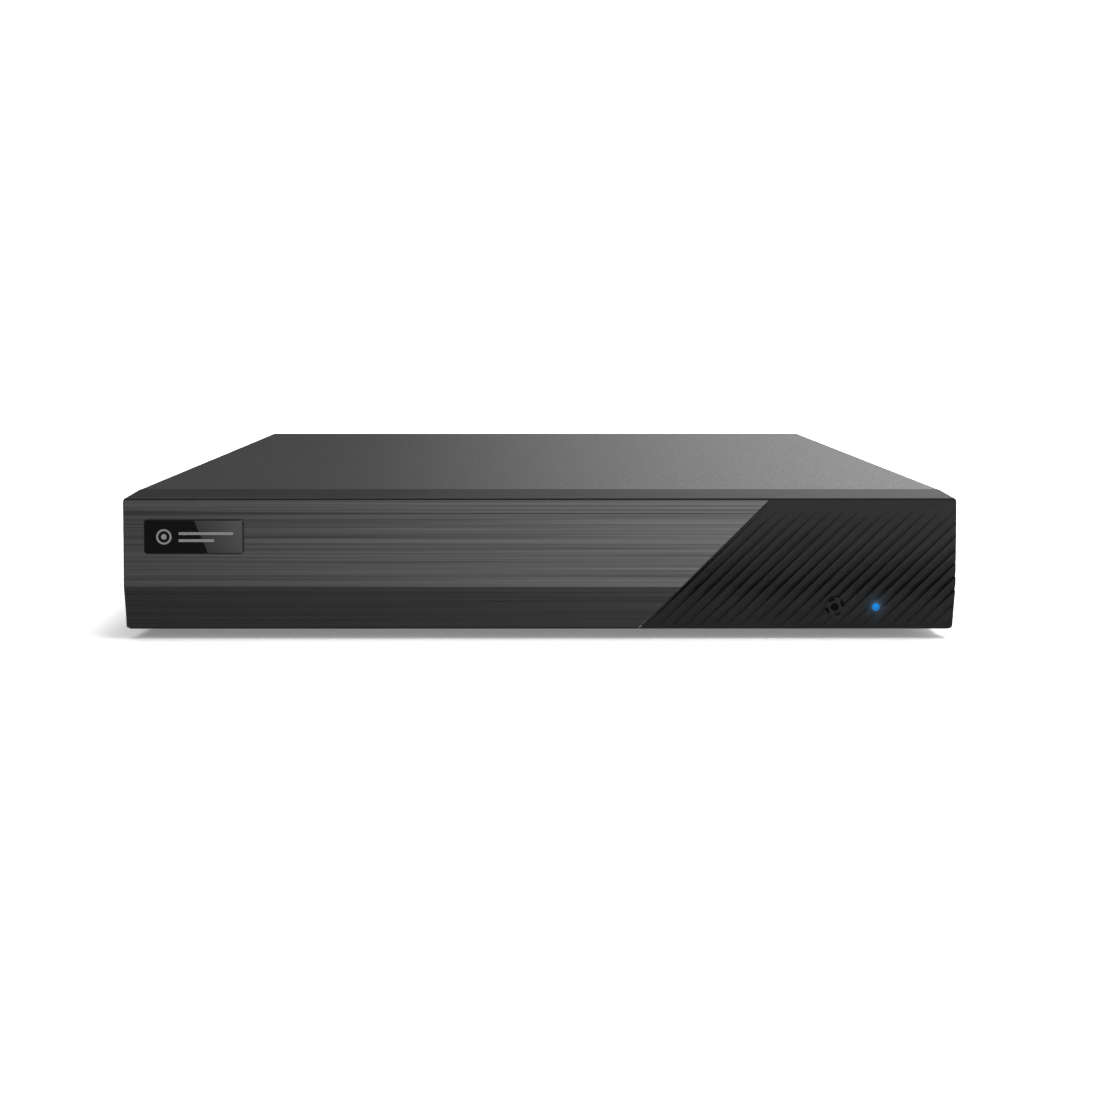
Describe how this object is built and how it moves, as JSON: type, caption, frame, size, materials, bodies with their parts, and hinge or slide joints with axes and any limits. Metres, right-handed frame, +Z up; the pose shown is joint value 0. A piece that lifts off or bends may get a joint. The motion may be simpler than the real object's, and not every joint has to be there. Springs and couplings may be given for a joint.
{
  "type": "digital video recorder",
  "caption": "Compact black security video recorder: ribbed and brushed front, steel case, hard drive and fan inside, rear sockets for video, sound, network and power.",
  "frame": {"origin": "on the ground under the middle of the recorder's bounding box", "axes": "+X to the viewer's right seen from the front, the front faces -Y, +Z up"},
  "size_m": [0.2548, 0.2338, 0.0453],
  "materials": {
    "case_paint": "fine-textured black powder coat",
    "chassis_paint": "fine-textured black powder coat",
    "bezel_plastic": "satin black moulding",
    "brushed_front": "dark anodised, brushed along its length",
    "badge_gloss": "polished black",
    "window_plastic": "smoked clear",
    "light_plastic": "clear, lit blue",
    "foot_rubber": "matte",
    "circuit_board": "solder mask",
    "led_clear": "clear",
    "chip_black": "moulded epoxy",
    "ribbon_grey": "flat cable",
    "bare_aluminium": "extruded",
    "capacitor_can": "sleeved can",
    "moulded_black": "fine moulded",
    "cell_steel": "bright",
    "nickel": "nickel plated",
    "tinned_steel": "tin plated",
    "zinc_screw": "zinc plated",
    "black_screw": "black oxide",
    "terminal_green": "moulded",
    "lever_orange": "moulded",
    "rocker_black": "moulded",
    "cast_aluminium": "die cast",
    "lid_steel": "pressed",
    "disc_mirror": "polished",
    "hub_aluminium": "machined",
    "magnet_nickel": "nickel plated",
    "cable_red": "flexible sleeve",
    "cable_black": "flexible sleeve"
  },
  "bodies": {
    "case": {"top_cover": "case_paint", "chassis_base": "chassis_paint", "front_bezel": "bezel_plastic", "brushed_panel": "brushed_front", "badge_plate": "badge_gloss", "ir_window": "window_plastic", "led_light_pipe": "light_plastic", "rubber_foot_1": "foot_rubber", "rubber_foot_2": "foot_rubber", "rubber_foot_3": "foot_rubber", "rubber_foot_4": "foot_rubber", "front_board": "circuit_board", "main_board": "circuit_board", "hdd_board": "circuit_board", "power_led": "led_clear", "ir_receiver": "chip_black", "processor_chip": "chip_black", "memory_chips": "chip_black", "buzzer": "chip_black", "front_ribbon_cable": "ribbon_grey", "heatsink": "bare_aluminium", "capacitors": "capacitor_can", "coin_cell_holder": "moulded_black", "sata_data_port": "moulded_black", "sata_power_port": "moulded_black", "bnc_housings": "moulded_black", "audio_jack_housing": "moulded_black", "dc_power_jack": "moulded_black", "power_switch_body": "moulded_black", "fan_frame": "moulded_black", "coin_cell": "cell_steel", "bnc_socket_pair_1": "nickel", "bnc_socket_pair_2": "nickel", "bnc_socket_pair_3": "nickel", "bnc_socket_pair_4": "nickel", "audio_jack_shells": "nickel", "hdmi_port": "tinned_steel", "vga_port": "tinned_steel", "lan_port": "tinned_steel", "usb_stack": "tinned_steel", "vga_jackscrews": "zinc_screw", "board_screws": "zinc_screw", "hdd_mount_screws": "zinc_screw", "bezel_screws": "zinc_screw", "hdd_screws": "zinc_screw", "cover_screws": "black_screw", "fan_screws": "black_screw", "rs485_terminal": "terminal_green", "hdd_base": "cast_aluminium", "hdd_cover": "lid_steel", "hdd_magnet": "magnet_nickel", "sata_data_cable": "cable_red", "sata_power_cable": "cable_black"},
    "fan": {"fan_rotor": "moulded_black"},
    "disc_pack": {"hdd_spindle": "hub_aluminium", "hdd_platters": "disc_mirror"},
    "head_arm": {"hdd_actuator_arm": "hub_aluminium"},
    "rocker": {"power_rocker": "rocker_black"},
    "lever_left": {"rs485_lever_1": "lever_orange"},
    "lever_right": {"rs485_lever_2": "lever_orange"}
  },
  "joints": [
    {"name": "fan_spin", "type": "hinge", "parent": "case", "child": "fan", "pos_m": [0.1, 0.098, 0.028], "axis": [0, 1, 0], "continuous": true},
    {"name": "disc_spin", "type": "hinge", "parent": "case", "child": "disc_pack", "pos_m": [-0.0665, -0.0472, 0.019], "axis": [0, 0, 1], "continuous": true},
    {"name": "head_arm_swing", "type": "hinge", "parent": "case", "child": "head_arm", "pos_m": [-0.013, -0.066, 0.0194], "axis": [0, 0, 1], "range_deg": [0, 38]},
    {"name": "rocker_tilt", "type": "hinge", "parent": "case", "child": "rocker", "pos_m": [-0.1136, 0.1036, 0.026], "axis": [1, 0, 0], "range_deg": [-20, 0]},
    {"name": "lever_left_press", "type": "slide", "parent": "case", "child": "lever_left", "axis": [0, -1, 0], "range_m": [0, 0.0014], "stiffness_N_per_m": 800, "springref_m": -0.001},
    {"name": "lever_right_press", "type": "slide", "parent": "case", "child": "lever_right", "axis": [0, -1, 0], "range_m": [0, 0.0014], "stiffness_N_per_m": 800, "springref_m": -0.001}
  ]
}
